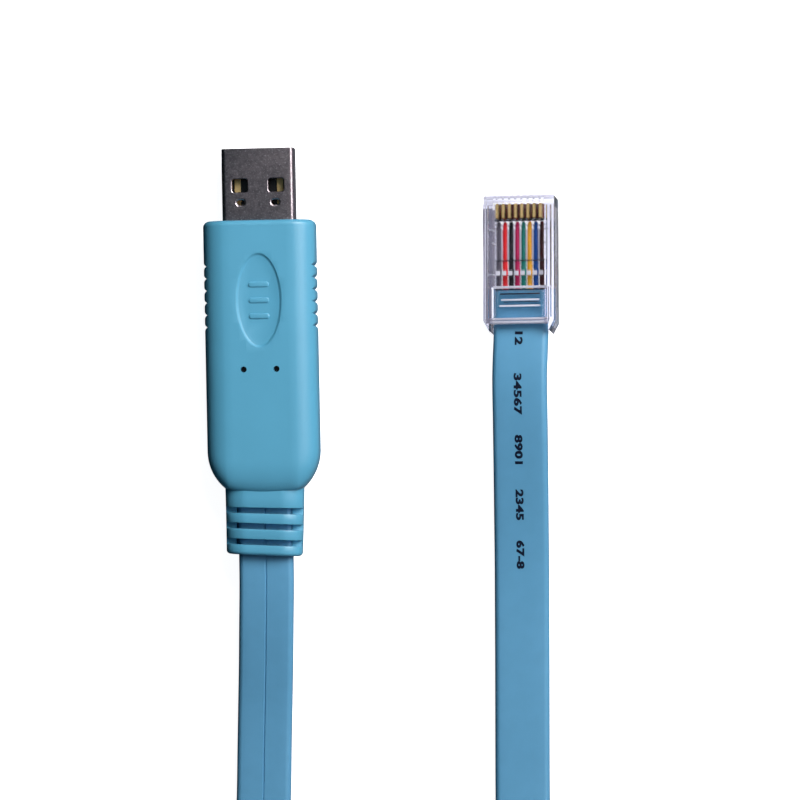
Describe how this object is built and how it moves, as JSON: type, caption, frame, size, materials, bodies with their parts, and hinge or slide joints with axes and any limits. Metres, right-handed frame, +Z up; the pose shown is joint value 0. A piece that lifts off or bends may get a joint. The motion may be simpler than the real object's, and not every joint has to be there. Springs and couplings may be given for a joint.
{
  "type": "flat console cable",
  "caption": "Flat blue cable with a plug in a moulded adapter housing on one end and a clear modular plug on the other, its spare length wound in a tied hank.",
  "frame": {"origin": "under the middle of the adapter's own box (metal shell, housing and strain relief), on the surface that the cable lies on", "axes": "+Y along the adapter towards the tip of its metal shell, +X towards the cable's other plug, +Z up"},
  "size_m": [0.0675, 0.293, 0.0135],
  "materials": {
    "shell_metal": "satin nickel plate with a fine grain",
    "insulator": "fine matte",
    "gold": "polished gold plate",
    "housing": "satin soft plastic",
    "lens": "gloss",
    "jacket": "satin soft plastic",
    "strap": "hook and loop weave",
    "clear_plastic": "clear polycarbonate",
    "wire_grey": "satin insulation",
    "wire_red": "satin insulation",
    "wire_black": "satin insulation",
    "wire_magenta": "satin insulation",
    "wire_green": "satin insulation",
    "wire_yellow": "satin insulation",
    "wire_blue": "satin insulation",
    "wire_brown": "satin insulation"
  },
  "bodies": {
    "root": {"usb_shell": "shell_metal", "usb_insulator": "insulator", "usb_contact_1": "gold", "usb_contact_2": "gold", "usb_contact_3": "gold", "usb_contact_4": "gold", "adapter_housing": "housing", "indicator_left": "lens", "indicator_right": "lens", "rj45_body": "clear_plastic", "rj45_contact_1": "gold", "rj45_contact_2": "gold", "rj45_contact_3": "gold", "rj45_contact_4": "gold", "rj45_contact_5": "gold", "rj45_contact_6": "gold", "rj45_contact_7": "gold", "rj45_contact_8": "gold", "rj45_wire_1": "wire_grey", "rj45_wire_2": "wire_red", "rj45_wire_3": "wire_black", "rj45_wire_4": "wire_magenta", "rj45_wire_5": "wire_green", "rj45_wire_6": "wire_yellow", "rj45_wire_7": "wire_blue", "rj45_wire_8": "wire_brown", "cable_usb_side": "jacket", "cable_hank": "jacket", "cable_rj45_side": "jacket", "tie_left": "strap", "tie_right": "strap"}
  },
  "joints": []
}
